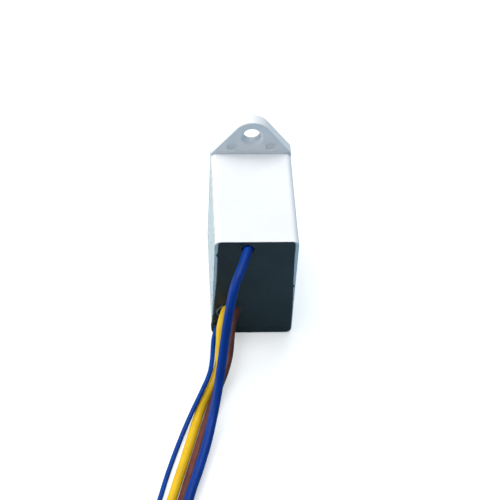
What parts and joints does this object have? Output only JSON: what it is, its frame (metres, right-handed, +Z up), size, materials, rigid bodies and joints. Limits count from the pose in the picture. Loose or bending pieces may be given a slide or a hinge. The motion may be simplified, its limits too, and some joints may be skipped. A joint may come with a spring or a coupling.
{
  "type": "surge protector",
  "caption": "Potted hard-wired surge protector: a moulded box with one screw ear, filled with black resin, with loose wire leads.",
  "frame": {"origin": "centre of the box's underside, measured without the leads and half way between the back face and the resin's face", "axes": "+Z up through the box towards the ear's crown, +Y from the resin's face towards the closed back with the ear, +X to the right seen from the resin's face"},
  "size_m": [0.0704, 0.1747, 0.0604],
  "materials": {
    "housing": "moulded white plastic, satin",
    "resin": "black potting resin, dull gloss",
    "blue_sleeve": "blue insulation, satin",
    "yellow_sleeve": "yellow insulation, satin",
    "brown_sleeve": "brown insulation, satin",
    "thin_blue_sleeve": "blue insulation, satin",
    "tinned_wire": "tinned copper strands",
    "laminate": "green glass-epoxy laminate",
    "track_copper": "copper",
    "solder": "solder",
    "disc_coating": "blue epoxy coating",
    "zinc_oxide": "zinc oxide ceramic",
    "electrode": "fired silver",
    "fuse_can": "tinned can",
    "fuse_seal": "epoxy seal",
    "fuse_pellet": "organic thermal pellet",
    "alumina": "white alumina",
    "nickel_cap": "nickel plated cap"
  },
  "bodies": {
    "root": {"back_tracks": "track_copper", "circuit_board": "laminate", "earth_lead": "yellow_sleeve", "earth_lead_core": "tinned_wire", "earth_lead_root": "yellow_sleeve", "earth_lead_tip": "tinned_wire", "front_tracks": "track_copper", "gas_tube_caps": "nickel_cap", "gas_tube_ceramic": "alumina", "gas_tube_leads": "tinned_wire", "housing_shell": "housing", "line_lead": "brown_sleeve", "line_lead_core": "tinned_wire", "line_lead_root": "brown_sleeve", "line_lead_tip": "tinned_wire", "neutral_lead": "blue_sleeve", "neutral_lead_core": "tinned_wire", "neutral_lead_root": "blue_sleeve", "neutral_lead_tip": "tinned_wire", "resin_fill": "resin", "signal_lead": "thin_blue_sleeve", "signal_lead_core": "tinned_wire", "signal_lead_root": "thin_blue_sleeve", "signal_lead_tip": "tinned_wire", "solder_joints": "solder", "thermal_fuse_line_can": "fuse_can", "thermal_fuse_line_leads": "tinned_wire", "thermal_fuse_line_pellet": "fuse_pellet", "thermal_fuse_line_seal": "fuse_seal", "thermal_fuse_neutral_can": "fuse_can", "thermal_fuse_neutral_leads": "tinned_wire", "thermal_fuse_neutral_pellet": "fuse_pellet", "thermal_fuse_neutral_seal": "fuse_seal", "varistor_line_earth_ceramic": "zinc_oxide", "varistor_line_earth_coating": "disc_coating", "varistor_line_earth_electrodes": "electrode", "varistor_line_earth_leads": "tinned_wire", "varistor_line_neutral_ceramic": "zinc_oxide", "varistor_line_neutral_coating": "disc_coating", "varistor_line_neutral_electrodes": "electrode", "varistor_line_neutral_leads": "tinned_wire", "varistor_neutral_earth_ceramic": "zinc_oxide", "varistor_neutral_earth_coating": "disc_coating", "varistor_neutral_earth_electrodes": "electrode", "varistor_neutral_earth_leads": "tinned_wire"}
  },
  "joints": []
}
